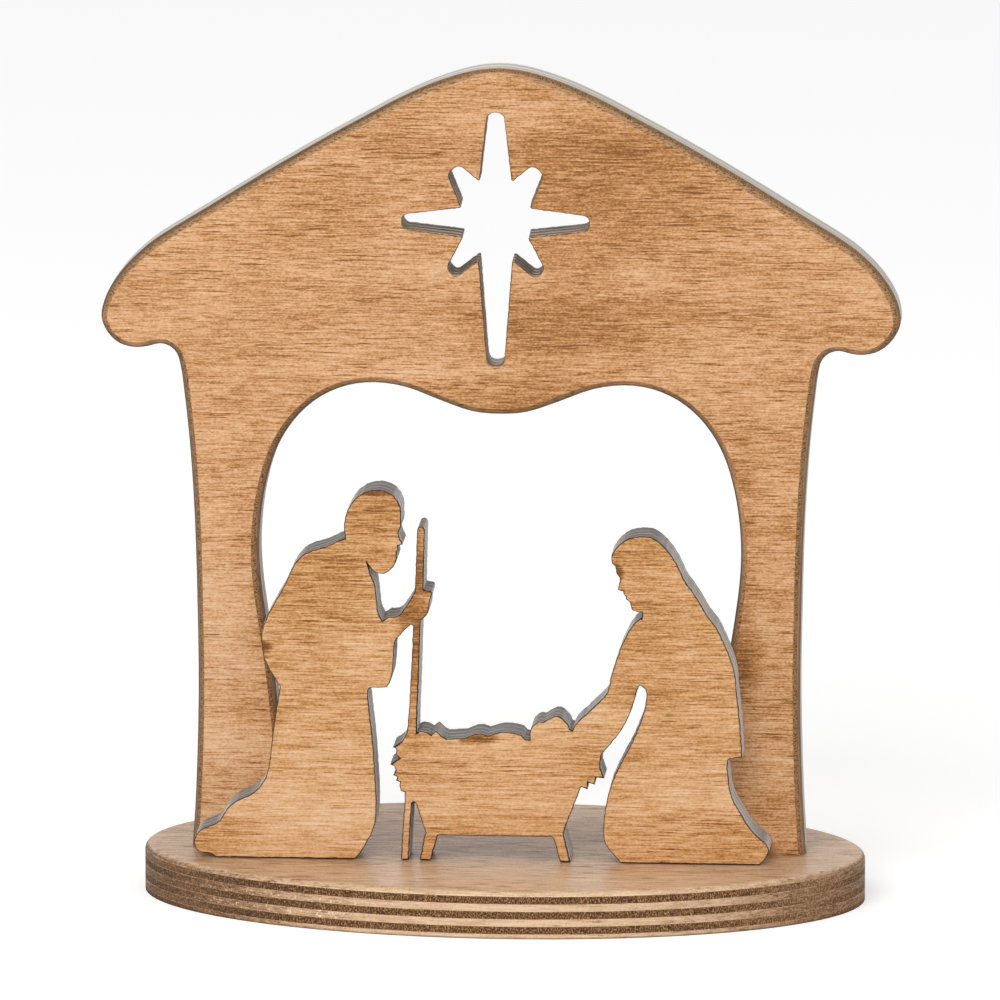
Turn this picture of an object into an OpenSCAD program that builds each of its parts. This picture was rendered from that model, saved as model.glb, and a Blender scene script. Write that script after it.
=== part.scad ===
/* [Boards] */
// Thickness of the plywood that all three boards are cut from
board_t = 12; // [9:0.5:18]
// Thickness of the thin veneer on each face of the plywood
veneer_t = 1.25; // [0.8:0.05:1.5]
// Radius of the rounded edge round the base's top
edge_r = 1.7; // [0.8:0.1:2.4]
// Radius of the cutter that rounds the stable's front edges
round_r = 4.8; // [4.8:0.1:6.4]
// How deep that cutter runs below the stable's front
round_deep = 3.7; // [2:0.1:3.7]

/* [Base] */
// Width of the oval base
base_w = 181.5; // [160:0.5:240]
// Depth of the oval base, front to back
base_d = 105; // [80:1:150]
// How far the base centre lies to the right of the stable centre
base_shift = 1.2; // [-4:0.1:4]
// How far the base is turned against the stable, right end forward, in degrees
base_turn = 2; // [-5:0.5:5]

/* [Stable] */
// Width of the stable across its eaves
stable_w = 200; // [160:1:240]
// Height of the stable above the base
stable_h = 198.5; // [160:0.5:240]
// Height of the roof, from the underside of the eaves to the peak
roof_h = 71.5; // [64:0.5:80]
// How far the two slopes of the roof lean to the right, half way up
roof_lean = 1.0; // [-3:0.1:3]
// How much higher the right eave ends than the left
eave_lift = 0.5; // [-2:0.1:2]
// Height of the board left above the doorway's crown
gable_h = 79.7; // [78:0.1:90]
// How far the doorway's middle lies to the right of the stable's
doorway_shift = 0.2; // [-2:0.1:2]
// Width of each post where it is narrowest
post_w = 15.1; // [9:0.1:20]
// How far the middle of the stable board lies behind the middle of the base
stable_back = -0.9; // [-3:0.1:6]

/* [Star] */
// Width of the star across its two side rays
star_w = 46.7; // [36:0.1:60]
// Height of the star from tip to tip
star_h = 64.2; // [50:0.1:70]
// Height of wood left between the star's top and the peak
star_drop = 10.7; // [8:0.1:14]
// How far the star's middle lies to the left of the stable's
star_shift = 0.6; // [-2:0.1:2]
// How far the star's cut leans to the left on its way through the board
star_lean = 0.3; // [-1:0.1:1]
// Rounding at the ends of the rays
ray_r = 1.8; // [0.5:0.1:2]
// Rounding in the notches between the rays
notch_r = 0.4; // [0.2:0.1:1]

/* [Figures] */
// Width of the group of figures, hem to hem
figures_w = 144; // [120:0.5:150]
// Height of the standing figure
figures_h = 94.5; // [80:0.5:110]
// How far the group's middle lies to the left of the stable centre
figures_shift = 3.4; // [0:0.1:5]
// Gap left between the base and the underside of the group
figures_gap = 0.3; // [0.1:0.1:1]
// Height of the standing figure's head
standing_head_h = 21.2; // [18:0.2:24]
// Height of the kneeling figure's head
kneeling_head_h = 19.2; // [16:0.2:22]
// How far the standing figure's head is bowed, in degrees
standing_bow = 12; // [0:1:25]
// How far the kneeling figure's head is bowed, in degrees
kneeling_bow = 22; // [0:1:30]

/* [Screws] */
// Diameter of the screws that hold the stable on the base
screw_d = 3.5; // [2.5:0.1:4]
// Length of the screws
screw_l = 30; // [25:1:40]
// Diameter of the countersunk heads
screw_head_d = 7; // [5.5:0.1:8]
// Radial clearance round the screws
screw_clear = 0.05; // [0.02:0.01:0.2]
// How deep the heads sit below the underside of the base
screw_sink = 0.4; // [0.2:0.1:1]
// Width of the arms of the cross recess in each head
recess_w = 0.9; // [0.6:0.1:1.2]
// Depth of the cross recess
recess_deep = 1.1; // [0.6:0.1:1.4]

/* [Fineness] */
// Steps along each stretch of a curved outline
curve_steps = 3; // [2:1:8]
// Steps along each stretch of an outline whose points lie close together
fine_steps = 2; // [1:1:6]
// Steps round a quarter turn of a rounded edge
edge_steps = 4; // [3:1:6]

/* [Hidden] */

// Overrun of every cut past the face it goes through
cut = 1;
// Plies in each board: a veneer on each face and five thicker plies between
plies = 7;
inner_t = (board_t - 2 * veneer_t) / (plies - 2);
// Depth of each ply's two faces below the board's front, or its top
ply_faces = concat([0], [for (i = [0:plies - 2]) veneer_t + i * inner_t], [board_t]);
// Sides of the base's oval
oval_sides = 96;
stable_front_y = stable_back - board_t / 2;
figures_front_y = stable_front_y - board_t;

light_wood = [0.80, 0.62, 0.43];
dark_wood = [0.42, 0.31, 0.23];
honey_wood = [0.80, 0.60, 0.40];
steel = [0.72, 0.72, 0.70];

// Right outside of a post, foot to eave, as shares of half the stable's width and the post's height
post_shares = [
    [0.771, 0], [0.762, 0.117], [0.755, 0.305], [0.757, 0.491], [0.763, 0.664],
    [0.7745, 0.812], [0.789, 0.922], [0.796, 0.962], [0.806, 0.989], [0.824, 1.003],
    [0.848, 1.008], [0.880, 1.002], [0.912, 1]
];
// Right half of the roof, eave to peak, as shares of half the stable's width and the roof's height
roof_shares = [
    [0.950, 0.014], [0.981, 0.053], [0.998, 0.108], [0.991, 0.169], [0.974, 0.222],
    [0.940, 0.289], [0.897, 0.350], [0.855, 0.396], [0.750, 0.488], [0.600, 0.618],
    [0.450, 0.741], [0.300, 0.856], [0.251, 0.892], [0.175, 0.941], [0.115, 0.971],
    [0.058, 0.992], [0, 1]
];
// Right half of the doorway, from the middle of its top down to the foot, as shares of half its
// width and of its height
doorway_shares = [
    [0, 0.936], [0.114, 0.941], [0.246, 0.964], [0.388, 0.991], [0.516, 1], [0.629, 0.993],
    [0.739, 0.969], [0.827, 0.932], [0.893, 0.887], [0.939, 0.837], [0.972, 0.777],
    [0.993, 0.709], [1, 0.642], [0.993, 0.575], [0.974, 0.500], [0.945, 0.400],
    [0.916, 0.267], [0.891, 0.133], [0.878, 0]
];
// Right half of the star, top to bottom, as shares of half its width and of its height
star_shares = [
    [0.085, 1], [0.170, 0.728], [0.395, 0.797], [0.510, 0.759], [0.362, 0.626],
    [1, 0.597], [1, 0.540], [0.342, 0.513], [0.520, 0.390], [0.436, 0.350],
    [0.178, 0.4235], [0.086, 0]
];

// The group's outline, as shares of its width from its left end and of the standing figure's
// height. It is given in stretches, one after another, clockwise from the standing figure's hem.
robe_back_shares = [
    [0.040, 0], [0.026, 0.010], [0.011, 0.012], [0.003, 0.021], [0, 0.040],
    [0.003, 0.059], [0.014, 0.075], [0.033, 0.087], [0.045, 0.100], [0.057, 0.130],
    [0.075, 0.154], [0.096, 0.168], [0.111, 0.185], [0.125, 0.218], [0.131, 0.255],
    [0.137, 0.331], [0.143, 0.396], [0.150, 0.458]
];
coat_back_shares = [
    [0.150, 0.463], [0.125, 0.530], [0.119, 0.573], [0.119, 0.611], [0.1265, 0.645],
    [0.1395, 0.684], [0.1585, 0.736], [0.176, 0.793], [0.196, 0.8235], [0.230, 0.841],
    [0.2495, 0.8555], [0.264, 0.864]
];
// Middle of the standing figure's head
standing_head_share = [0.3105, 0.887];
chest_shares = [
    [0.308, 0.768], [0.316, 0.741], [0.319, 0.698], [0.3235, 0.658], [0.329, 0.644]
];
forearm_top_shares = [
    [0.339, 0.655], [0.353, 0.656], [0.363, 0.670], [0.3745, 0.6955], [0.385, 0.725]
];
staff_top_shares = [[0.389, 0.889], [0.391, 0.896], [0.396, 0.899], [0.400, 0.896], [0.4025, 0.889]];
hand_shares = [
    [0.400, 0.730], [0.405, 0.727], [0.412, 0.7265], [0.4145, 0.718], [0.4115, 0.700],
    [0.408, 0.667], [0.402, 0.655], [0.395, 0.645]
];
straw_top_shares = [
    [0.388, 0.343], [0.395, 0.348], [0.407, 0.344], [0.414, 0.339], [0.421, 0.349],
    [0.431, 0.336], [0.440, 0.328], [0.455, 0.330], [0.470, 0.331], [0.485, 0.340],
    [0.499, 0.344], [0.511, 0.338], [0.524, 0.3445], [0.541, 0.349], [0.558, 0.346],
    [0.570, 0.341], [0.576, 0.331], [0.584, 0.328]
];
baby_shares = [
    [0.5845, 0.334], [0.5845, 0.351], [0.590, 0.367], [0.6005, 0.3785], [0.607, 0.377],
    [0.614, 0.383], [0.628, 0.3935], [0.637, 0.392], [0.6435, 0.383], [0.651, 0.371],
    [0.654, 0.359]
];
arm_top_shares = [
    [0.658, 0.355], [0.6645, 0.374], [0.676, 0.3915], [0.704, 0.4325], [0.719, 0.459],
    [0.7245, 0.499], [0.7395, 0.569], [0.7495, 0.609], [0.764, 0.643], [0.777, 0.662]
];
// Middle of the kneeling figure's head
kneeling_head_share = [0.782, 0.781];
veil_back_shares = [
    [0.793, 0.879], [0.802, 0.872], [0.812, 0.860], [0.827, 0.836], [0.8425, 0.796],
    [0.852, 0.763], [0.8645, 0.7375], [0.879, 0.7035], [0.8905, 0.6715], [0.908, 0.6375],
    [0.921, 0.5965], [0.932, 0.557], [0.9405, 0.510], [0.943, 0.467], [0.948, 0.396],
    [0.951, 0.345], [0.953, 0.289]
];
skirt_back_shares = [
    [0.932, 0.284], [0.928, 0.277], [0.929, 0.240], [0.935, 0.184], [0.948, 0.146],
    [0.967, 0.098], [0.983, 0.071], [0.996, 0.055], [1, 0.036], [0.993, 0.014], [0.983, 0]
];
skirt_front_shares = [
    [0.743, 0], [0.727, 0.026], [0.715, 0.050], [0.712, 0.093], [0.717, 0.158],
    [0.727, 0.217], [0.742, 0.267], [0.7615, 0.325], [0.774, 0.371], [0.783, 0.412],
    [0.7865, 0.461], [0.7815, 0.4725], [0.776, 0.4795], [0.7715, 0.468], [0.763, 0.423],
    [0.752, 0.381], [0.7385, 0.3465], [0.717, 0.306], [0.709, 0.291]
];
straw_right_shares = [
    [0.708, 0.287], [0.7065, 0.257], [0.7135, 0.227], [0.700, 0.229], [0.697, 0.209],
    [0.686, 0.216], [0.6845, 0.196], [0.6745, 0.203], [0.6715, 0.194]
];
manger_under_shares = [
    [0.644, 0.084], [0.644, 0.070], [0.655, 0], [0.637, 0], [0.626, 0.062], [0.6225, 0.067],
    [0.425, 0.067], [0.412, 0], [0.393, 0], [0.400, 0.058], [0.403, 0.074], [0.396, 0.107],
    [0.387, 0.152], [0.383, 0.156], [0.3795, 0.152], [0.3735, 0], [0.360, 0], [0.364, 0.100],
    [0.367, 0.154]
];
straw_left_shares = [
    [0.367, 0.182], [0.360, 0.185], [0.358, 0.197], [0.3585, 0.2095], [0.3515, 0.2135],
    [0.354, 0.223], [0.347, 0.2275], [0.3515, 0.242], [0.349, 0.252], [0.3415, 0.256],
    [0.358, 0.274], [0.3525, 0.284], [0.3525, 0.299], [0.3465, 0.303], [0.3625, 0.319],
    [0.3675, 0.332]
];
staff_left_shares = [[0.371, 0.346], [0.3745, 0.403], [0.3795, 0.543], [0.382, 0.632]];
sleeve_shares = [
    [0.377, 0.634], [0.356, 0.600], [0.3505, 0.587], [0.3485, 0.550], [0.346, 0.505],
    [0.341, 0.476], [0.335, 0.464]
];
robe_front_shares = [
    [0.309, 0.463], [0.304, 0.457], [0.3055, 0.407], [0.312, 0.315], [0.3165, 0.213],
    [0.318, 0.148], [0.315, 0.091], [0.304, 0.053], [0.290, 0.016], [0.280, 0]
];

// Heads in profile, as shares of the head's height from its middle: first towards the face,
// then towards the crown
standing_profile_shares = [
    [-0.289, -0.159], [-0.325, -0.05], [-0.337, 0.08], [-0.305, 0.26], [-0.19, 0.42],
    [0, 0.50], [0.17, 0.46], [0.275, 0.34], [0.305, 0.22], [0.325, 0.11], [0.31, 0.05],
    [0.345, -0.03], [0.385, -0.085], [0.34, -0.115], [0.355, -0.155], [0.337, -0.185],
    [0.36, -0.26], [0.335, -0.38], [0.24, -0.485], [0.13, -0.48], [0.04, -0.412]
];
kneeling_profile_shares = [
    [0.25, -0.538], [0.215, -0.47], [0.27, -0.445], [0.325, -0.385], [0.315, -0.29],
    [0.342, -0.235], [0.333, -0.2], [0.35, -0.165], [0.34, -0.125], [0.395, -0.085],
    [0.35, -0.01], [0.318, 0.06], [0.335, 0.12], [0.315, 0.22], [0.335, 0.27],
    [0.30, 0.375], [0.17, 0.462], [0, 0.50], [-0.14, 0.472]
];

// One point of a smooth curve from b to c, a share u of the way, with a and d on either side
function along(a, b, c, d, u) =
    let (
        t1 = sqrt(norm(b - a)),
        t2 = t1 + sqrt(norm(c - b)),
        t3 = t2 + sqrt(norm(d - c)),
        t = t1 + (t2 - t1) * u,
        ab = (a * (t1 - t) + b * t) / t1,
        bc = (b * (t2 - t) + c * (t - t1)) / (t2 - t1),
        cd = (c * (t3 - t) + d * (t - t2)) / (t3 - t2),
        first = (ab * (t2 - t) + bc * t) / t2,
        second = (bc * (t3 - t) + cd * (t - t1)) / (t3 - t1)
    )
    (first * (t2 - t) + second * (t - t1)) / (t2 - t1);

// A smooth curve through all the points of p
function curve(p, steps = curve_steps) =
    let (n = len(p))
    concat(
        [for (i = [0:n - 2])
            for (k = [0:steps - 1])
                along(
                    i == 0 ? 2 * p[0] - p[1] : p[i - 1], p[i], p[i + 1],
                    i == n - 2 ? 2 * p[n - 1] - p[n - 2] : p[i + 2], k / steps
                )],
        [p[n - 1]]
    );

function backwards(p) = [for (i = [len(p) - 1:-1:0]) p[i]];
function flipped(p) = [for (q = p) [-q[0], q[1]]];
function sized(shares, w, h) = [for (s = shares) [s[0] * w, s[1] * h]];

// A corner b between a and c, rounded to radius r
function rounded_corner(a, b, c, r, steps = 4) =
    let (
        u = (a - b) / norm(a - b),
        v = (c - b) / norm(c - b),
        half = acos(max(-1, min(1, u * v))) / 2,
        back = min(r / tan(half), norm(a - b) / 2.2, norm(c - b) / 2.2),
        middle = (u + v) / norm(u + v) * back / cos(half),
        from = u * back - middle,
        to = v * back - middle,
        turn = (180 - 2 * half) * sign(from[0] * to[1] - from[1] * to[0])
    )
    [for (k = [0:steps])
        let (w = turn * k / steps)
        b + middle + [from[0] * cos(w) - from[1] * sin(w), from[0] * sin(w) + from[1] * cos(w)]];

// The stable's outline moved inwards by d: the outer sides up and over, then the doorway
post_h = stable_h - roof_h;
outside_half = concat(
    sized(post_shares, stable_w / 2, post_h),
    [for (p = sized(roof_shares, stable_w / 2, roof_h)) p + [0, post_h]]
);
outside = concat(outside_half, flipped([for (i = [len(outside_half) - 2:-1:0]) outside_half[i]]));
// How the outline strays from a mirrored one: sideways on the slopes, most half way up, and
// upwards at the right eave, by a power of the place across
function leaned(p) =
    p + [
        roof_lean * sin(180 * max(0, (p[1] - post_h) / roof_h)),
        eave_lift * pow(max(0, p[0] / (stable_w / 2)), 6)
    ];
outer_path = curve([for (p = outside) leaned(p)]);
post_side = min([for (p = sized(post_shares, stable_w / 2, post_h)) p[0]]);
doorway_half = sized(doorway_shares, post_side - post_w, stable_h - gable_h);
doorway_path = [
    for (p = curve(concat(
        flipped(backwards(doorway_half)), [for (i = [1:len(doorway_half) - 1]) doorway_half[i]]
    ))) p + [doorway_shift, 0]
];

// Unit normal on the left of an open path, level at its two ends
function left_normal(p, i) =
    let (
        n = len(p),
        d = i == 0 || i == n - 1 ? [0, i == 0 ? p[1][1] - p[0][1] : p[n - 1][1] - p[n - 2][1]]
            : p[i + 1] - p[i - 1]
    )
    [-d[1], d[0]] / norm(d);
function moved(p, d) = [for (i = [0:len(p) - 1]) p[i] + left_normal(p, i) * d];
function stable_outline(d) = concat(moved(outer_path, d), moved(doorway_path, d));

function oval_outline(d) =
    [for (k = [0:oval_sides - 1])
        let (
            a = 360 * k / oval_sides,
            p = [cos(a) * base_w / 2, sin(a) * base_d / 2],
            out = [cos(a) / base_w, sin(a) / base_d]
        )
        p - out / norm(out) * d];

// How far an edge rounded to radius r is drawn in at a depth, where its cut runs deep below the face
function drawn_in(depth, r, deep) =
    depth >= deep ? 0 : r - sqrt(pow(r, 2) - pow(deep - depth, 2));
// Depths at which ply i needs an outline: its two faces and the steps of the rounded edge
function ply_depths(i, r, deep) =
    concat(
        [ply_faces[i]],
        [for (k = [1:edge_steps])
            let (depth = deep - r * sin(asin(deep / r) * (1 - k / edge_steps)))
            if (depth > ply_faces[i] + deep / 40 && depth < ply_faces[i + 1] - deep / 40)
                depth],
        [ply_faces[i + 1]]
    );

// Twice the area of the triangle a, b, c, positive when it runs anticlockwise
function twice_area(a, b, c) = (b[0] - a[0]) * (c[1] - a[1]) - (b[1] - a[1]) * (c[0] - a[0]);
function holds(a, b, c, q) =
    twice_area(a, b, q) >= 0 && twice_area(b, c, q) >= 0 && twice_area(c, a, q) >= 0;
// True if the corner at place i of the ring can be cut off as a triangle
function is_ear(p, ring, i) =
    let (n = len(ring), a = ring[(i + n - 1) % n], b = ring[i], c = ring[(i + 1) % n])
    twice_area(p[a], p[b], p[c]) > 0
    && len([for (q = ring) if (q != a && q != b && q != c && holds(p[a], p[b], p[c], p[q])) q]) == 0;
// Triangles that fill an anticlockwise outline p, cut off it one ear at a time
function ears(p, ring, from = 0, found = []) =
    let (n = len(ring), i = from % n)
    n == 3 ? concat(found, [ring])
    : is_ear(p, ring, i)
        ? ears(
            p, [for (k = [0:n - 1]) if (k != i) ring[k]], from + 1,
            concat(found, [[ring[(i + n - 1) % n], ring[i], ring[(i + 1) % n]]])
        )
        : ears(p, ring, from + 1, found);

// One ply of a board with a rounded edge, face up: its outlines stacked downwards from zero
module edged_ply(outlines, depths) {
    n = len(outlines[0]);
    last = len(depths) - 1;
    ring = [for (i = [0:n - 1]) i];
    polyhedron(
        points = [for (k = [0:last]) for (p = outlines[k]) [p[0], p[1], -depths[k]]],
        faces = concat(
            [for (f = ears(outlines[0], ring)) backwards(f)],
            [for (k = [0:last - 1]) for (i = [0:n - 1])
                [k * n + i, k * n + (i + 1) % n, (k + 1) * n + (i + 1) % n, (k + 1) * n + i]],
            [for (f = ears(outlines[last], ring)) [for (i = f) last * n + i]]
        )
    );
}

// One ply with square edges, in the same place
module square_ply(outline, i) {
    translate([0, 0, -ply_faces[i + 1]])
        linear_extrude(ply_faces[i + 1] - ply_faces[i]) polygon(outline);
}

// Screws, one under the middle of each post's foot
function post_x(side) =
    (side * (outside_half[0][0] + doorway_half[len(doorway_half) - 1][0]) + doorway_shift) / 2;
screw_head_h = (screw_head_d - screw_d) / 2;

module on_screws() {
    for (side = [-1, 1]) translate([post_x(side), stable_back, 0]) children();
}

module screw_holes() {
    on_screws() {
        translate([0, 0, -cut])
            cylinder(h = screw_sink + screw_l + 2 * cut, d = screw_d + 2 * screw_clear, $fn = 32);
        translate([0, 0, screw_sink])
            cylinder(
                h = screw_head_h,
                d1 = screw_head_d + 2 * screw_clear,
                d2 = screw_d + 2 * screw_clear, $fn = 32
            );
        translate([0, 0, -cut])
            cylinder(h = screw_sink + cut, d = screw_head_d + 2 * screw_clear, $fn = 32);
    }
}

module base_ply(i) {
    color(i % 2 == 0 ? light_wood : dark_wood)
        difference() {
            translate([base_shift, 0, board_t])
                rotate(-base_turn)
                    if (ply_faces[i] < edge_r)
                        edged_ply(
                            [for (d = ply_depths(i, edge_r, edge_r))
                                oval_outline(drawn_in(d, edge_r, edge_r))],
                            ply_depths(i, edge_r, edge_r)
                        );
                    else
                        square_ply(oval_outline(0), i);
            screw_holes();
        }
}

star_half = sized(star_shares, star_w / 2, star_h);
star_corners = concat(star_half, flipped(backwards(star_half)));
star_path = [for (i = [0:len(star_corners) - 1])
    let (
        n = len(star_corners),
        a = star_corners[(i + n - 1) % n], b = star_corners[i], c = star_corners[(i + 1) % n],
        turn = (b - a)[0] * (c - b)[1] - (b - a)[1] * (c - b)[0]
    )
    each rounded_corner(a, b, c, turn < 0 ? ray_r : notch_r)];

// The star's cut through ply i, leaning to the left with the depth
module star_cut(i) {
    ends = [ply_faces[i] - cut, ply_faces[i + 1] + cut];
    translate([-star_shift, stable_h - star_drop - star_h, 0])
        edged_ply(
            [for (d = ends) [for (p = backwards(star_path)) p - [star_lean * d / board_t, 0]]], ends
        );
}

module stable_ply(i) {
    color(i % 2 == 0 ? light_wood : dark_wood)
        difference() {
            translate([0, stable_front_y, board_t])
                rotate([90, 0, 0])
                    difference() {
                        if (ply_faces[i] < round_deep)
                            edged_ply(
                                [for (d = ply_depths(i, round_r, round_deep))
                                    stable_outline(drawn_in(d, round_r, round_deep))],
                                ply_depths(i, round_r, round_deep)
                            );
                        else
                            square_ply(stable_outline(0), i);
                        star_cut(i);
                    }
            screw_holes();
        }
}

function in_group(shares) = sized(shares, figures_w, figures_h);
function head_path(shares, middle, tall, bow, facing) =
    curve([for (s = shares)
        [middle[0] * figures_w, middle[1] * figures_h]
        + tall * [facing * (s[0] * cos(bow) + s[1] * sin(bow)), s[1] * cos(bow) - s[0] * sin(bow)]],
        fine_steps);

figures_path = concat(
    curve(in_group(robe_back_shares), fine_steps),
    curve(in_group(coat_back_shares)),
    head_path(standing_profile_shares, standing_head_share, standing_head_h, standing_bow, 1),
    curve(in_group(chest_shares), fine_steps),
    curve(in_group(forearm_top_shares), fine_steps),
    curve(in_group(staff_top_shares), fine_steps),
    curve(in_group(hand_shares), fine_steps),
    curve(in_group(straw_top_shares), fine_steps),
    curve(in_group(baby_shares), fine_steps),
    curve(in_group(arm_top_shares), fine_steps),
    head_path(kneeling_profile_shares, kneeling_head_share, kneeling_head_h, kneeling_bow, -1),
    curve(in_group(veil_back_shares), fine_steps),
    curve(in_group(skirt_back_shares), fine_steps),
    curve(in_group(skirt_front_shares), fine_steps),
    in_group(straw_right_shares),
    in_group(manger_under_shares),
    in_group(straw_left_shares),
    in_group(staff_left_shares),
    curve(in_group(sleeve_shares), fine_steps),
    curve(in_group(robe_front_shares), fine_steps)
);

module figures_ply(i) {
    color(i % 2 == 0 ? honey_wood : dark_wood)
        translate([-figures_shift - figures_w / 2, figures_front_y, board_t + figures_gap])
            rotate([90, 0, 0])
                square_ply(figures_path, i);
}

module base_screws() {
    color(steel)
        on_screws()
            translate([0, 0, screw_sink])
                difference() {
                    rotate_extrude($fn = 48)
                        polygon([
                            [0, 0], [screw_head_d / 2, 0], [screw_d / 2, screw_head_h],
                            [screw_d / 2, screw_l - screw_d], [0, screw_l]
                        ]);
                    for (turn = [0, 90])
                        rotate(turn)
                            translate([-screw_d / 2, -recess_w / 2, -cut])
                                cube([screw_d, recess_w, recess_deep + cut]);
                }
}

for (i = [0:plies - 1]) {
    base_ply(i);
    stable_ply(i);
    figures_ply(i);
}
base_screws();
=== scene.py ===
# %% [markdown]
# # A wooden nativity stable, cell by cell
#
# The ornament is three pieces of the same half-inch plywood. An oval lies flat as the base, a board
# with a gabled outline stands on it with a star and a doorway sawn out, and a board of figures in
# silhouette is glued to its front. The construction model holds every one of the seven sheets in
# each board at its true size, so this file never draws an outline again. It loads the model as a
# fixed frame, works a finer copy of each sheet, and then makes the wood, its stain, its sawn edges
# and the screws look as they do on the shelf.

# %% Load the frame
import math

import bmesh
import bpy
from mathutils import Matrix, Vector


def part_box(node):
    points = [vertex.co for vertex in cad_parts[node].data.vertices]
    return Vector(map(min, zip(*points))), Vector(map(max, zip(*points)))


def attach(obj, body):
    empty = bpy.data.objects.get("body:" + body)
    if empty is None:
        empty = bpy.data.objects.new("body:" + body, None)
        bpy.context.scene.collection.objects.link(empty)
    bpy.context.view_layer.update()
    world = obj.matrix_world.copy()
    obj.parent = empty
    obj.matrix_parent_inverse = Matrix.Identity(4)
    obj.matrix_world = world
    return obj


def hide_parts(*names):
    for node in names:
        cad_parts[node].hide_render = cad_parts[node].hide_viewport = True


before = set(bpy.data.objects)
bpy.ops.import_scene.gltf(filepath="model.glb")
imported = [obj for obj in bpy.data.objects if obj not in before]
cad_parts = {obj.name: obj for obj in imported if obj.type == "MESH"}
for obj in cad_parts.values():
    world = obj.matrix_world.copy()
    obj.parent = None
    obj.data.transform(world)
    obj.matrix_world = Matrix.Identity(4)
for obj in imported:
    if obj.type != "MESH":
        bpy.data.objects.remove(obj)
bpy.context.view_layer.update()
MM = 0.001
bpy.ops.object.select_all(action="DESELECT")

# %% [markdown]
# ## The camera
#
# The photograph was taken from far away with a long lens, so that the upright boards show hardly any
# perspective, from a little above and a little to the right. A long lens could also be faked with an
# orthographic camera, but then the base would lose the slight narrowing towards its back. The camera
# is placed by its direction and distance from the middle of the object, the way a photographer would
# walk round it, and the lamps are placed in the same way later on.

# %% Place the camera
AIM = Vector((0, -2.4 * MM, 100 * MM))
CAMERA_TURN, CAMERA_RISE = 3.9, 11.16
CAMERA_DISTANCE = 3573 * MM
SENSOR, LENS = 36, 514.7
SHIFT_RIGHT, SHIFT_UP = 0.0008, 0.004


def direction(turn, rise):
    """The way out from the object to what stands that many degrees to the right and up."""
    a, e = math.radians(turn), math.radians(rise)
    return Vector((math.sin(a) * math.cos(e), -math.cos(a) * math.cos(e), math.sin(e)))


def looking_back(out):
    """The rotation of a camera or a lamp that stands out that way and points at the object."""
    return (-out).to_track_quat("-Z", "Y").to_euler()


towards_camera = direction(CAMERA_TURN, CAMERA_RISE)
bpy.ops.object.camera_add(location=AIM + towards_camera * CAMERA_DISTANCE)
camera = bpy.context.object
camera.rotation_euler = looking_back(towards_camera)
camera.data.sensor_width, camera.data.lens = SENSOR, LENS
camera.data.shift_x, camera.data.shift_y = SHIFT_RIGHT, SHIFT_UP
bpy.context.scene.camera = camera
print("camera at", [round(c, 3) for c in camera.location])

# %% [markdown]
# ## A small language for shaders
#
# Node trees are hard to read as lists of nodes and links. Two small classes make them read like
# sums. A Wire is the output of a node that can be added, multiplied and compared like a number, and
# each operation on it adds one Math node. A Finish is the tree that the wires belong to, and its one
# method adds any other node: its settings first, then the values or wires of its sockets.

# %% Wires and finishes
class Wire:
    """An output of a node, which counts like a number."""

    def __init__(self, finish, socket):
        self.finish, self.socket = finish, socket

    def other(self, output):
        """Another output of the same node."""
        return Wire(self.finish, self.socket.node.outputs[output])

    def math(self, operation, *others):
        values = dict(enumerate((self, *others)))
        return self.finish.add("ShaderNodeMath", {"operation": operation}, values)

    def __add__(self, other):
        return self.math("ADD", other)

    def __sub__(self, other):
        return self.math("SUBTRACT", other)

    def __rsub__(self, other):
        return self.finish.add("ShaderNodeMath", {"operation": "SUBTRACT"}, {0: other, 1: self})

    def __mul__(self, other):
        return self.math("MULTIPLY", other)

    def __abs__(self):
        return self.math("ABSOLUTE")

    __radd__, __rmul__ = __add__, __mul__

    def larger(self, other):
        return self.math("MAXIMUM", other)

    def rising(self, low, high):
        """0 below low, 1 above high, and a soft step between. It falls if low is the higher."""
        return self.finish.add(
            "ShaderNodeMapRange", {"interpolation_type": "SMOOTHSTEP"},
            {"Value": self, "From Min": low, "From Max": high},
        )


class Finish:
    """A node tree that is being wired up."""

    def __init__(self, tree):
        self.tree = tree
        tree.nodes.clear()

    def add(self, kind, settings=None, values=None, output=0):
        node = self.tree.nodes.new(kind)
        for key, value in (settings or {}).items():
            if key == "stops":
                self.fill_ramp(node.color_ramp, value)
            else:
                setattr(node, key, value)
        for key, value in (values or {}).items():
            if isinstance(value, Wire):
                self.tree.links.new(value.socket, node.inputs[key])
            else:
                node.inputs[key].default_value = value
        return Wire(self, node.outputs[output]) if node.outputs else node

    @staticmethod
    def fill_ramp(ramp, stops):
        while len(ramp.elements) < len(stops):
            ramp.elements.new(1.0)
        for element, (place, colour) in zip(ramp.elements, stops):
            element.position, element.color = place, colour


def new_material(name):
    """A material with an empty tree, and the Finish that fills it."""
    material = bpy.data.materials.new(name)
    material.use_nodes = True
    return material, Finish(material.node_tree)


def paint(red, green, blue):
    """A colour as it looks on a screen, 0 to 255, as the shader wants it."""
    def linear(c):
        c /= 255
        return c / 12.92 if c <= 0.04045 else ((c + 0.055) / 1.055) ** 2.4
    return (linear(red), linear(green), linear(blue), 1.0)


def mixed(first, second, share):
    """A colour between two, or another finish over one where share rises to 1."""
    return share.finish.add(
        "ShaderNodeMix", {"data_type": "RGBA"}, {0: share, 6: first, 7: second}, output=2
    )


def coloured(tone, stops):
    """The colour of a tone, from a ramp of (place, colour) stops."""
    return tone.finish.add("ShaderNodeValToRGB", {"stops": stops}, {0: tone})


print("mid brown is", [round(c, 3) for c in paint(128, 96, 64)])

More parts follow.
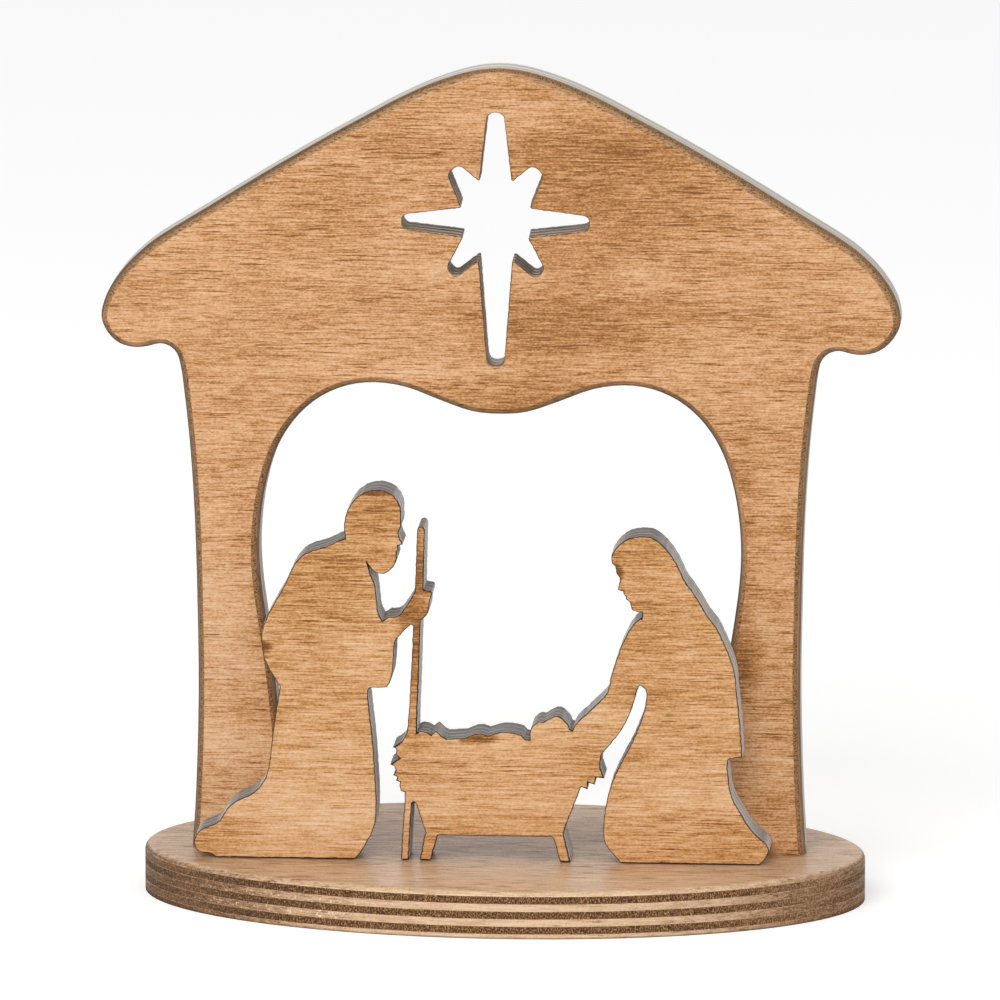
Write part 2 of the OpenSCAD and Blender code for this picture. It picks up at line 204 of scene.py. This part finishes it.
# %% [markdown]
# ## The stage
#
# A white sheet of paper and an even light is all there is round the object. The floor takes part in
# the lighting like any pale floor, but a camera ray that meets it adds a little glow, so that lit
# paper comes out white and only the soft shadow close to the base shows. The world is white to the
# camera and to reflections, and dimmer as a light, so that the wood isn't washed out.

# %% Floor and world
FLOOR_SIZE = 12
PAPER = paint(236, 236, 236)
PAPER_GLOW = 0.40
WHITE = paint(255, 255, 255)
WORLD_LIGHT = 0.52

bpy.ops.mesh.primitive_plane_add(size=FLOOR_SIZE)
floor = bpy.context.object
floor.name = "floor"
paper_material, paper = new_material("paper")
floor.data.materials.append(paper_material)
sees_paper = paper.add("ShaderNodeLightPath")
sheet = paper.add("ShaderNodeBsdfDiffuse", None, {"Color": PAPER})
glow = paper.add("ShaderNodeEmission", None, {"Strength": sees_paper * PAPER_GLOW})
both = paper.add("ShaderNodeAddShader", None, {0: sheet, 1: glow})
paper.add("ShaderNodeOutputMaterial", None, {"Surface": both})

bpy.context.scene.view_settings.view_transform = "Standard"
bpy.context.scene.world = bpy.data.worlds.new("studio")
bpy.context.scene.world.use_nodes = True
air = Finish(bpy.context.scene.world.node_tree)
path = air.add("ShaderNodeLightPath")
shown = path
for ray in ("Is Glossy Ray", "Is Transmission Ray"):
    shown = shown.larger(path.other(ray))
sky = air.add("ShaderNodeBackground", None, {
    "Color": WHITE, "Strength": WORLD_LIGHT + (1 - WORLD_LIGHT) * shown,
})
air.add("ShaderNodeOutputWorld", None, {"Surface": sky})
print("stage:", floor.name, "and a world of", WORLD_LIGHT)

# %% [markdown]
# The lamps are soft boxes: a broad strong one above and a little to the left, which lights the faces
# and the tops of the edges, and a weaker one low on each side to keep the sides from going dull. Area
# lights are chosen over points because the object's shadows have no hard edge anywhere.

# %% Soft boxes
LAMP_DISTANCE = 2.6
SOFT_BOXES = [
    # name, degrees to the right, degrees up, width in metres, power in watts
    ("box_over_front", -15, 36, 1.5, 31.5),
    ("box_left", -58, 20, 1.4, 9),
    ("box_right", 52, 22, 1.4, 7),
]


def soft_box(name, turn, rise, width, power):
    out = direction(turn, rise)
    bpy.ops.object.light_add(type="AREA", location=AIM + out * LAMP_DISTANCE)
    lamp = bpy.context.object
    lamp.name, lamp.rotation_euler = name, looking_back(out)
    lamp.data.size, lamp.data.energy = width, power
    return lamp


lamps = [soft_box(*row) for row in SOFT_BOXES]
print("lamps:", [lamp.name for lamp in lamps])

# %% [markdown]
# ## Wood, sheet by sheet
#
# Plywood is wood peeled into thin sheets, glued with the grain of each sheet square to its
# neighbours. So one piece of wood shows two very different skins. Along the grain it is a pale
# honey colour with fine streaks and short dark pores. Across the cut ends of the fibres it drinks
# the stain and turns dark brown. A picture of wood couldn't follow a curved edge, so the finish
# works it out from the direction of the grain and the way the surface faces.
#
# A Grain knows, for the point being shaded, how far it lies along the grain, across it and through
# the sheet, in millimetres, and how squarely the surface faces each of these ways. It also makes the
# marks, which are noise stretched along the grain. Each kind has its own place in the noise, so that
# a streak never sits on a pore by rule.

# %% The grain of a sheet
MARKS = {
    # length along the grain, width across it and depth through the sheet in mm, and finer detail
    "clouds": (45, 11, 11, 2.0),
    "streaks": (12, 0.55, 0.55, 2.0),
    "fibres": (4.5, 0.30, 0.30, 1.0),
    "speckle": (0.6, 0.4, 0.4, 0.0),
    "crowds": (26, 5, 5, 2.0),
    "pores": (6.5, 0.32, 0.32, 0.0),
    "tubes": (2.0, 0.30, 0.5, 2.0),
    "layers": (7, 7, 0.35, 2.0),
    "ragged": (14, 4, 4, 2.0),
    "chips": (0.7, 0.7, 0.7, 1.0),
    "glints": (1.2, 1.2, 1.2, 1.0),
}
NOISE_STEP = (7.3, 3.1, 5.7)


class Grain:
    """Places and directions on a sheet. order names the axes along, across and through it."""

    def __init__(self, finish, order):
        self.finish = finish
        coordinates = finish.add("ShaderNodeTexCoord", output="Object")
        place = finish.add("ShaderNodeSeparateXYZ", None, {0: coordinates})
        facing = finish.add("ShaderNodeSeparateXYZ", None, {0: coordinates.other("Normal")})
        self.along, self.across, self.through = (place.other(axis) * (1 / MM) for axis in order)
        self.x, self.up = (place.other(axis) * (1 / MM) for axis in sorted(order[:2]))
        self.facing_along, self.facing_through = (
            abs(facing.other(axis)) for axis in (order[0], order[2])
        )
        self.edge = self.facing_through.rising(0.9, 0.4)
        upright = facing.other("Z")
        self.facing_x, self.facing_left = abs(facing), facing.rising(-0.15, -0.5)
        self.facing_up, self.facing_down = upright.rising(0.05, 0.35), upright.rising(-0.1, -0.4)
        self.lying = upright.rising(0.5, 0.98)
        self.place = finish.add(
            "ShaderNodeCombineXYZ", None, {0: self.along, 1: self.across, 2: self.through}
        )

    def marks(self, kind, widen=1, wavy=0.0):
        """Noise from 0 to 1 in marks of one kind."""
        length, width, depth, detail = MARKS[kind]
        number = list(MARKS).index(kind) + 1
        stretched = self.finish.add("ShaderNodeMapping", None, {
            "Vector": self.place,
            "Location": [number * step for step in NOISE_STEP],
            "Scale": (1 / length, 1 / (width * widen), 1 / depth),
        })
        return self.finish.add("ShaderNodeTexNoise", None, {
            "Vector": stretched, "Scale": 1.0, "Detail": detail, "Distortion": wavy,
        })

    def patch(self, x, up, wide, tall):
        """1 in the middle of an oval on the board and 0 outside it, with a ragged edge."""
        a = (self.x - x) * (1 / wide)
        b = (self.up - up) * (1 / tall)
        ragged = (self.marks("ragged") - 0.5) * 0.7
        return (a * a + b * b + ragged).rising(1, 0)


print("kinds of marks:", ", ".join(MARKS))

# %% [markdown]
# ### Faces
#
# The face of a board is built up like the real thing. Broad clouds are where the stain took more or
# less, streaks are the year's growth, fibres are the fine lines in it, and pores are the short dark
# dashes, which stand in crowds. They add up to one number, the tone, and a ramp turns the tone into a
# colour, so that a darker mark is always a browner one too. Where one board is known to be lighter,
# darker or smudged, and where painted light and shade go, a patch with a ragged edge shifts the tone
# there.

# %% The tone of a face
def face_tone(grain, look):
    """How light a face is from mark to mark, and where its pores are."""
    def spread(kind, **shape):
        return (grain.marks(kind, **shape) - 0.5) * look[kind]

    widen = look["widen"]
    tone = spread("clouds") + spread("streaks", widen=widen, wavy=look["wavy"])
    tone = tone + spread("fibres", widen=widen) + spread("speckle") + look["level"]
    crowds = grain.marks("crowds").rising(0.40, 0.64)
    pores = grain.marks("pores", widen=widen).rising(0.60, 0.74) * (crowds * 0.8 + 0.2)
    tone = tone - pores * look["pores"]
    for *place, shift in look["patches"]:
        tone = tone + grain.patch(*place) * shift
    return tone, pores


STABLE_STOPS = [
    (0.05, paint(128, 80, 36)), (0.27, paint(172, 118, 64)), (0.40, paint(192, 138, 87)),
    (0.52, paint(207, 156, 109)), (0.66, paint(217, 171, 129)), (0.95, paint(231, 193, 155)),
]
FIGURES_STOPS = [
    (0.05, paint(116, 70, 26)), (0.27, paint(166, 112, 56)), (0.40, paint(191, 137, 80)),
    (0.52, paint(207, 156, 105)), (0.66, paint(218, 173, 127)), (0.95, paint(234, 198, 163)),
]
BASE_STOPS = [
    (0.05, paint(104, 74, 48)), (0.27, paint(150, 114, 82)), (0.40, paint(177, 141, 107)),
    (0.52, paint(195, 160, 126)), (0.66, paint(210, 176, 142)), (0.95, paint(232, 200, 166)),
]
print("ramps of", len(STABLE_STOPS), "stops")

# %% [markdown]
# ### Stained edges
#
# A stained edge is pale where the fibres run along it. Where they end in it, it is dark brown with a
# hatch of tiny dark tubes, and the darker the more squarely it cuts them. The base's edge is a little
# lighter than its top and darkens towards the oval's two ends, and the whole base is darker on its
# left. The rounding on the right side of the doorway is nearly as pale as the face, and that is a
# patch again.

# %% The colour of faces and cut ends
END_STOPS = [
    (0.22, paint(60, 37, 18)), (0.42, paint(113, 77, 43)), (0.60, paint(143, 101, 61)),
    (0.82, paint(184, 141, 97)),
]


def stained(grain, look, tone, tubes, ends, pale):
    """The stained wood, by its tone along the grain and by its tubes across it."""
    lift = grain.edge * (look["edge_lift"] - grain.facing_x * look["dark_ends"])
    left = grain.x.rising(-25, -72) * look["dark_left"] * (grain.edge * 2 + 1)
    end_tone = tubes * 2.2 - 0.6 + look["end_level"] - grain.facing_along * 0.22
    along = coloured(tone + lift - left, look["stops"])
    across = coloured(end_tone + pale * 0.3 - left, END_STOPS)
    return mixed(along, across, ends * (1 - pale * 0.7))


print("cut ends: a ramp of", len(END_STOPS), "stops")

# %% [markdown]
# ### Scorched walls
#
# The walls of the stable and of the figures were scorched by the cutting, which left a matt skin over
# light and dark layers, and a thin burnt line along the sharp front rims. The light grey of these
# walls is a painted reflection of the white surroundings on the scorch, and on the walls of the
# figures that face up the painted reflection is darker. On the stable only the star is grey from front
# to back. The rest of its outline was rounded over and stained again at the front, so there the scorch
# begins behind the rounding.

# %% Scorch with its painted reflection, and burnt rims
# Painted reflection: these greys stand for the white surroundings mirrored in the scorched walls.
SCORCH_SHEEN_LONG = paint(236, 233, 226)
SCORCH_SHEEN_END = paint(204, 199, 190)
BURNT_AND_SHADE = paint(44, 29, 18)
EVERYWHERE = "everywhere"
SCORCH_ROUGHNESS = 0.75


def scorched_with_sheen(grain, look, colour, rough):
    """The colour and the roughness with scorched walls, their grey a painted reflection, and where
    walls and bare saw cuts are.
    """
    sawn = grain.edge if look["sawn"] == EVERYWHERE else grain.patch(*look["sawn"])
    behind = grain.through.rising(look["scorched_from"], look["scorched_from"] + 0.5)
    wall = grain.facing_through.rising(0.22, 0.04) * sawn.larger(behind)
    cut_ends = grain.facing_along.rising(0.15, 0.9)
    scorch_sheen = mixed(mixed(SCORCH_SHEEN_LONG, SCORCH_SHEEN_END, cut_ends), mixed(*look["scorch_sheen"], cut_ends), sawn)
    layers = grain.marks("layers").rising(0.46, 0.66)
    # Painted reflection: the walls that face up are mixed darker here.
    scorch_sheen = mixed(scorch_sheen, BURNT_AND_SHADE, layers * (0.05 + sawn * 0.15) + grain.lying * look["sheen_darker_facing_up"])
    return mixed(colour, scorch_sheen, wall), rough * (1 - wall) + wall * SCORCH_ROUGHNESS, wall, sawn


def burnt_rim(grain):
    """1 on the narrow bevel between a face and a wall."""
    return grain.facing_through.rising(0.999, 0.97) * grain.facing_through.rising(0.10, 0.3)


print("scorch:", [round(c, 2) for c in SCORCH_SHEEN_LONG[:3]], "to", [round(c, 2) for c in SCORCH_SHEEN_END[:3]])

# %% [markdown]
# ### Rounded edges
#
# The stain also gathered on the stable's rounded edges. They darken from the crease at the face to
# the start of the wall, most of all where they face sideways. Under the arches of the doorway, down
# the outsides of the two posts and on the left slope of the roof they are dark over their whole
# width.

# %% Stain on the roundings
CREASE, WALL_START = -6.5, -4.6
POSTS_FROM, POSTS_TO = (64, 72), (92, 84)


def rounding(grain, wall):
    """How much burnt brown the rounded edges take, from 0 to 1."""
    aside = abs(grain.x)
    outside = aside.rising(*POSTS_FROM) * aside.rising(*POSTS_TO) * (1 - grain.facing_up)
    outside = outside.larger(grain.facing_left * grain.facing_up)
    width = grain.through.rising(CREASE, WALL_START).larger(grain.facing_down).larger(outside * 0.75)
    share = grain.facing_x * 0.3 + grain.facing_left * 0.3 + 0.35 - grain.facing_up * 0.1
    return width * grain.edge * (1 - wall) * share


print("rounded edges darken from", CREASE, "to", WALL_START, "mm")

# %% [markdown]
# ### Painted glints and wear
#
# Two kinds of bright marks catch the eye. Along the creases of the roof and the base, on the parts
# that face up, short bright glints are a painted highlight. On the left of the base's front edge the
# light sheets are torn into tiny chips, real wear which the same bright colour paints as glinting.
# Both are as fine as the marks in the wood, so they are made like marks.

# %% Glints and torn chips
# Painted highlight: the glint colour of the creases and of the torn chips.
GLINT = paint(246, 218, 182)
GLINT_FADE = 0.2


def painted_crease_glints(grain, look, colour):
    """The colour with painted glints, a highlight on the parts of a crease that face up, where the
    crease runs between two depths.
    """
    low, high, share = look["painted_crease_glints"]
    crease = grain.through.rising(low, low + 0.08) * grain.through.rising(high, high - GLINT_FADE)
    glints = grain.marks("glints").rising(0.42, 0.56) * (1.3 - grain.facing_x) * grain.facing_up
    return mixed(colour, GLINT, crease * grain.edge * glints * share)


def torn_chips_glint(grain, look, colour, ends):
    """The colour with chips on the middle sheets of the front edge, between two places, painted in a
    glinting highlight.
    """
    start, end = look["torn_chips_glint"]
    # Real torn chips, coloured as a painted highlight.
    chips = grain.marks("chips").rising(0.60, 0.70) * grain.up.rising(0, -20)
    chips = chips * grain.x.rising(start, start + 15) * grain.x.rising(end, end - 15)
    chips = chips * grain.through.rising(0.8, 2.5) * grain.through.rising(9, 7.5)
    return mixed(colour, GLINT, chips * grain.edge * (1 - ends) * 0.9)


print("glints are", [round(c, 2) for c in GLINT[:3]])

# %% [markdown]
# ### One finish for every sheet
#
# A sheet's material takes these steps in the order in which they happened to the wood: it was
# stained, scorched or sanded, and then worn. The scorch carries a painted reflection, the sanded base
# a painted shade along the foot of its edge, and the wear painted glints. The tubes and the marks also
# stand a hair above or below the surface, which a Bump node gives, and a thin coat of varnish lies on
# the flats only.

# %% The finish of a sheet
RELIEF_STRENGTH, RELIEF_DEPTH = 0.35, 0.12 * MM
WOOD_GLOSS, VARNISH_ROUGHNESS = 0.3, 0.25
WOOD_ROUGHNESS = 0.5


def sheet_finish(name, order, look):
    """The material of one kind of sheet. look says how its board differs from the others."""
    material, finish = new_material(name)
    grain = Grain(finish, order)
    tone, pores = face_tone(grain, look)
    tubes = grain.marks("tubes")
    ends = grain.facing_along.rising(*look["ends"])
    pale = grain.patch(*look["pale"]) if look["pale"] else 0
    colour = stained(grain, look, tone, tubes, ends, pale)
    rough = WOOD_ROUGHNESS + pores * 0.2 + ends * 0.12
    if look["sawn"] is None:
        # Painted shade: the base's edge darkens towards its foot, where it stands on the floor.
        colour = mixed(colour, BURNT_AND_SHADE, grain.through.rising(0.6, 0.1) * grain.edge * 0.7)
    else:
        colour, rough, wall, sawn = scorched_with_sheen(grain, look, colour, rough)
        burnt = burnt_rim(grain)
        if look["sawn"] != EVERYWHERE:
            burnt = (burnt * sawn).larger(rounding(grain, wall))
        colour = mixed(colour, BURNT_AND_SHADE, burnt)
    if look["painted_crease_glints"]:
        colour = painted_crease_glints(grain, look, colour)
    if look["torn_chips_glint"]:
        colour = torn_chips_glint(grain, look, colour, ends)
    bump = finish.add("ShaderNodeBump", None, {
        "Strength": RELIEF_STRENGTH, "Distance": RELIEF_DEPTH,
        "Height": tone * 0.35 + tubes * ends * 0.8,
    })
    shader = finish.add("ShaderNodeBsdfPrincipled", None, {
        "Base Color": colour, "Roughness": rough, "Normal": bump,
        "Specular IOR Level": WOOD_GLOSS,
        "Coat Weight": look["coat"] * (1 - grain.edge), "Coat Roughness": VARNISH_ROUGHNESS,
    })
    finish.add("ShaderNodeOutputMaterial", None, {"Surface": shader})
    return material


print("relief of", round(RELIEF_DEPTH / MM, 2), "mm")

# %% [markdown]
# ### The looks of the three boards
#
# All that sets the boards apart is written down here: how strong each kind of mark is, how pale the
# edges are, and where each board is lighter, darker or smudged. Some patches are painted light and
# shade, and a comment says so where they stand. A patch is an oval on the board, given by its middle,
# its half width and its half height in millimetres, and by what it adds to the tone. A cross sheet
# shows only at the edge, so it needs no patches.

# %% Looks and finishes
PLAIN_LOOK = {
    "widen": 1, "ends": (0.03, 0.26), "end_level": 0.0, "edge_lift": 0.0, "dark_ends": 0.0,
    "dark_left": 0.0, "coat": 0.05, "sheen_darker_facing_up": 0.0, "pale": None, "painted_crease_glints": None, "torn_chips_glint": None,
}
STABLE_LOOK = {
    **PLAIN_LOOK, "stops": STABLE_STOPS, "level": 0.50, "clouds": 0.5, "streaks": 0.7, "wavy": 0.3,
    "fibres": 0.8, "speckle": 0.5, "pores": 0.42, "end_level": 0.36,
    "sawn": (-0.7, 167.5, 30, 38), "scorch_sheen": (paint(204, 188, 172), paint(104, 87, 72)),
    "scorched_from": -3.0, "painted_crease_glints": (-7.0, -6.55, 0.8), "pale": (57, 116, 10, 44),
    "patches": [
        (28, 180, 40, 24, -0.19), (24, 146, 42, 14, -0.13), (6, 128, 26, 8, -0.12),
        # Painted shade: (61, 100) darkens the face along the doorway's right edge, and (60, 62) is a
        # painted shadow of the kneeling figure on the post.
        (61, 100, 5, 50, -0.06), (60, 62, 8, 14, -0.3), (-34, 134.5, 60, 2.6, 0.10),
        # Painted light: (-78, 40) lightens the lower part of the left post.
        (-76, 168, 26, 16, 0.03), (-78, 40, 24, 80, 0.16),
    ],
}
FIGURES_LOOK = {
    **PLAIN_LOOK, "stops": FIGURES_STOPS, "level": 0.53, "clouds": 0.55, "streaks": 1.0, "wavy": 0.8,
    "fibres": 0.55, "speckle": 0.4, "pores": 0.28,
    "sawn": EVERYWHERE, "scorch_sheen": (paint(236, 232, 228), paint(190, 186, 182)), "sheen_darker_facing_up": 0.58,
    "scorched_from": -30,
    "patches": [
        (-31, 102, 12, 12, -0.14), (-31, 107, 8, 2.5, -0.4), (-20, 76, 6, 30, -0.34),
        (-4, 43.4, 7, 2, -0.5), (30, 86, 2.6, 3.4, -0.5), (-59, 66, 4, 2.6, -0.5),
        # Painted light: (-46, 26), (0, 36) and (48, 28) make the figures lighter towards the bottom.
        (-44, 80, 18, 24, -0.08), (38, 76, 20, 30, -0.08), (-46, 26, 26, 26, 0.12),
        (0, 36, 24, 20, 0.05), (48, 28, 22, 20, 0.09),
    ],
}
BASE_LOOK = {
    **PLAIN_LOOK, "stops": BASE_STOPS, "level": 0.56, "clouds": 0.2, "streaks": 0.7, "wavy": 0.2,
    "fibres": 0.5, "speckle": 0.4, "pores": 0.35, "widen": 2.6, "ends": (0.3, 0.95),
    "end_level": 0.12, "edge_lift": 0.16, "dark_ends": 0.5, "dark_left": 0.055, "coat": 0.3,
    "sawn": None, "painted_crease_glints": (10.7, 11.1, 0.6), "torn_chips_glint": (-82, -24),
    # Painted light and shade: (10, -44) lightens the top in front of the figures and (0, 8) darkens it
    # behind them, round the stable.
    "patches": [(10, -44, 85, 24, 0.12), (0, 8, 100, 34, -0.21)],
}
finishes = {}
for board, look, order, cross_order in (
    ("stable", STABLE_LOOK, "XZY", "ZXY"),
    ("figures", FIGURES_LOOK, "XZY", "ZXY"),
    ("base", BASE_LOOK, "XYZ", "YXZ"),
):
    finishes[board, 0] = sheet_finish(board + "_wood", order, look)
    finishes[board, 1] = sheet_finish(board + "_cross_wood", cross_order, {**look, "patches": []})
print("finishes:", [m.name for m in finishes.values()])

# %% [markdown]
# ## Working the sheets
#
# Each sheet of the construction model is exact but raw: loose triangles with knife-sharp edges. A
# copy is welded and its flat triangles are dissolved, which leaves one clean face on each side and a
# ring of walls. Selections in the next cells are made in code, by which way the faces beside an edge
# look, because nobody is there to click on them.

# %% Copy a sheet and choose edges on it
WELD = 0.0005 * MM
NEARLY_FLAT = math.radians(0.4)
FLAT, STEEP = 0.999, 0.9


def copy_sheet(node):
    """A welded copy of a sheet's construction mesh, left open in edit mode."""
    bpy.ops.object.select_all(action="DESELECT")
    piece = bpy.data.objects.new(node + "_wood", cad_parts[node].data.copy())
    bpy.context.collection.objects.link(piece)
    bpy.context.view_layer.objects.active = piece
    piece.select_set(True)
    bpy.ops.mesh.customdata_custom_splitnormals_clear()
    bpy.ops.object.mode_set(mode="EDIT")
    bpy.context.tool_settings.mesh_select_mode = (False, True, False)
    bpy.ops.mesh.select_all(action="SELECT")
    bpy.ops.mesh.remove_doubles(threshold=WELD)
    bpy.ops.mesh.dissolve_limited(angle_limit=NEARLY_FLAT)
    return piece


def select_edges(test):
    """Selects the edges for which test is true in the mesh being edited, and counts them."""
    bpy.ops.mesh.select_all(action="DESELECT")
    mesh = bmesh.from_edit_mesh(bpy.context.object.data)
    chosen = [edge for edge in mesh.edges if test(edge)]
    for edge in chosen:
        edge.select_set(True)
    bmesh.update_edit_mesh(bpy.context.object.data)
    return len(chosen)


def is_rim(edge, through):
    """True where a wall meets the flat of the sheet. through is the number of the thin axis."""
    slopes = sorted(abs(face.normal[through]) for face in edge.link_faces)
    return len(slopes) == 2 and slopes[0] < STEEP and slopes[1] > FLAT


def runs_round(edge, through):
    """True for an edge of a wall that runs along the outline and not through the sheet."""
    level = abs(edge.verts[0].co[through] - edge.verts[1].co[through]) < WELD
    return level and any(abs(face.normal[through]) < FLAT for face in edge.link_faces)


print("edge tools ready, welding under", round(WELD / MM, 4), "mm")

# %% [markdown]
# ### Saw marks
#
# The star and the figures were cut out with a fine blade and never sanded inside, so their edges
# wander by a tenth of a millimetre or two. The long straight edges are split until every step is
# short, and two Displace modifiers then push the walls about, one in each direction of the board.
# Their texture is stretched without end through the board, so a mark runs straight through all seven
# sheets, as the blade did. A bump in the material would give the same shading but leave the outline
# ruled.

# %% Roughen what was sawn
SAW_STEP = 0.6 * MM
SAW_WANDER = 0.4 * MM
SAW_GRIT, SAW_DEPTH = 1.1, 2
ENDLESS = 1000
bpy.ops.object.empty_add()
saw_space = bpy.context.object
saw_space.scale = (MM, ENDLESS, MM)
saw_textures = []
for axis, basis in (("X", "ORIGINAL_PERLIN"), ("Z", "IMPROVED_PERLIN")):
    texture = bpy.data.textures.new("saw_" + axis, "CLOUDS")
    texture.noise_scale, texture.noise_depth, texture.noise_basis = SAW_GRIT, SAW_DEPTH, basis
    saw_textures.append((axis, texture))


def roughen(piece, is_sawn):
    """Splits the sawn edges into short steps and lets the walls between them wander."""
    while select_edges(lambda e: is_sawn(e) and e.calc_length() > SAW_STEP):
        bpy.ops.mesh.subdivide(number_cuts=1)
    select_edges(is_sawn)
    bpy.ops.object.vertex_group_assign_new()
    bpy.ops.object.mode_set(mode="OBJECT")
    for axis, texture in saw_textures:
        wander = piece.modifiers.new("wander", "DISPLACE")
        wander.direction, wander.texture, wander.strength = axis, texture, SAW_WANDER
        wander.texture_coords, wander.texture_coords_object = "OBJECT", saw_space
        wander.vertex_group = piece.vertex_groups[0].name
        bpy.ops.object.modifier_apply(modifier=wander.name)
    piece.vertex_groups.clear()
    bpy.ops.object.mode_set(mode="EDIT")


print("saw textures:", [t.name for _, t in saw_textures])

# %% [markdown]
# ### Breaking the edges
#
# No real edge is knife-sharp. The front rims of the figures and of the star get a bevel wide enough to
# carry the burnt line, in two steps, and they get it before the saw marks, because a bevel this wide
# would fold over itself on a rough outline. Every other rim gets a narrow bevel after them: where two
# sheets meet, the two bevels leave the fine groove of the glue line. Shading by angle keeps the walls
# smooth, and weighted normals keep the broad flat faces flat right up to the bevel.

# %% Bevel and smooth a sheet
GROOVE = 0.07 * MM
FRONT_RIM = 0.32 * MM
SMOOTH_UNDER = math.radians(38)
FLATS_FIRST = 100


def break_rims(through, chosen, width, steps=1):
    """Bevels the rims of the sheet being edited for which chosen is true."""
    if select_edges(lambda e: is_rim(e, through) and chosen(e)):
        bpy.ops.mesh.bevel(offset=width, segments=steps, clamp_overlap=steps == 1)


def smooth_sheet(piece):
    """Shades the walls smoothly and keeps the flats flat."""
    bpy.ops.object.mode_set(mode="OBJECT")
    bpy.ops.object.shade_smooth_by_angle(angle=SMOOTH_UNDER)
    weighted = piece.modifiers.new("weighted", "WEIGHTED_NORMAL")
    weighted.keep_sharp, weighted.weight = True, FLATS_FIRST
    bpy.ops.object.modifier_apply(modifier=weighted.name)


def place_sheet(piece, node, material):
    """Gives the piece its wood and lets it stand for its node."""
    piece.data.materials.clear()
    piece.data.materials.append(material)
    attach(piece, "root")
    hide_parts(node)


# %% [markdown]
# ### The three boards
#
# The boards go through the same steps in the same order. They differ only in which axis is thin and
# in what was sawn and left rough: nothing on the base, the star on the stable, and the whole outline
# of the figures.

# %% Make the boards
STAR_MIDDLE = Vector((0, 0, 167.8 * MM))
STAR_REACH = 36 * MM
Y, Z = 1, 2


def sheets_of(board, outer, inner):
    """The seven sheets of a board, from the face that shows to the one that doesn't."""
    return [f"{board}_{outer}_veneer", *(f"{board}_ply_{i}" for i in range(2, 7)),
            f"{board}_{inner}_veneer"]


def in_star(edge):
    middle = (edge.verts[0].co + edge.verts[1].co) / 2
    return (Vector((middle.x, 0, middle.z)) - STAR_MIDDLE).length < STAR_REACH


def anywhere(edge):
    return True


def make_board(board, outer, inner, through, sawn=None):
    """Works the sheets of a board. through is its thin axis, and sawn tells which edges are."""
    for i, node in enumerate(sheets_of(board, outer, inner)):
        piece = copy_sheet(node)
        if sawn:
            if i == 0:
                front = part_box(node)[0][through]

                def sawn_at_front(edge):
                    return sawn(edge) and abs(edge.verts[0].co[through] - front) < WELD

                break_rims(through, sawn_at_front, FRONT_RIM, 2)
            roughen(piece, lambda e: sawn(e) and runs_round(e, through))
        break_rims(through, anywhere, GROOVE)
        smooth_sheet(piece)
        place_sheet(piece, node, finishes[board, i % 2])
        print(piece.name, len(piece.data.polygons), "faces")


make_board("base", "top", "bottom", Z)
make_board("stable", "front", "back", Y, in_star)
make_board("figures", "front", "back", Y, anywhere)
bpy.data.objects.remove(saw_space)

# %% [markdown]
# ## The screws
#
# Two zinc-plated wood screws come up through the base into the posts, and only their heads show, on
# the underside. Their construction shape is right as it is, so they keep it and get their metal,
# bright with a fine grey wear.

# %% Zinc
ZINC, WORN_ZINC = paint(196, 198, 200), paint(150, 150, 148)
WEAR_PER_METRE, WEAR_DETAIL = 900, 3


def zinc_finish():
    material, finish = new_material("zinc")
    place = finish.add("ShaderNodeTexCoord", output="Object")
    wear = finish.add("ShaderNodeTexNoise", None, {
        "Vector": place, "Scale": WEAR_PER_METRE, "Detail": WEAR_DETAIL,
    })
    shader = finish.add("ShaderNodeBsdfPrincipled", None, {
        "Base Color": mixed(ZINC, WORN_ZINC, wear), "Metallic": 1.0, "Roughness": 0.22 + wear * 0.2,
    })
    finish.add("ShaderNodeOutputMaterial", None, {"Surface": shader})
    return material


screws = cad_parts["base_screws"]
zinc = zinc_finish()
for material_slot in screws.material_slots:
    material_slot.material = zinc
print("screws:", len(screws.data.polygons), "faces")
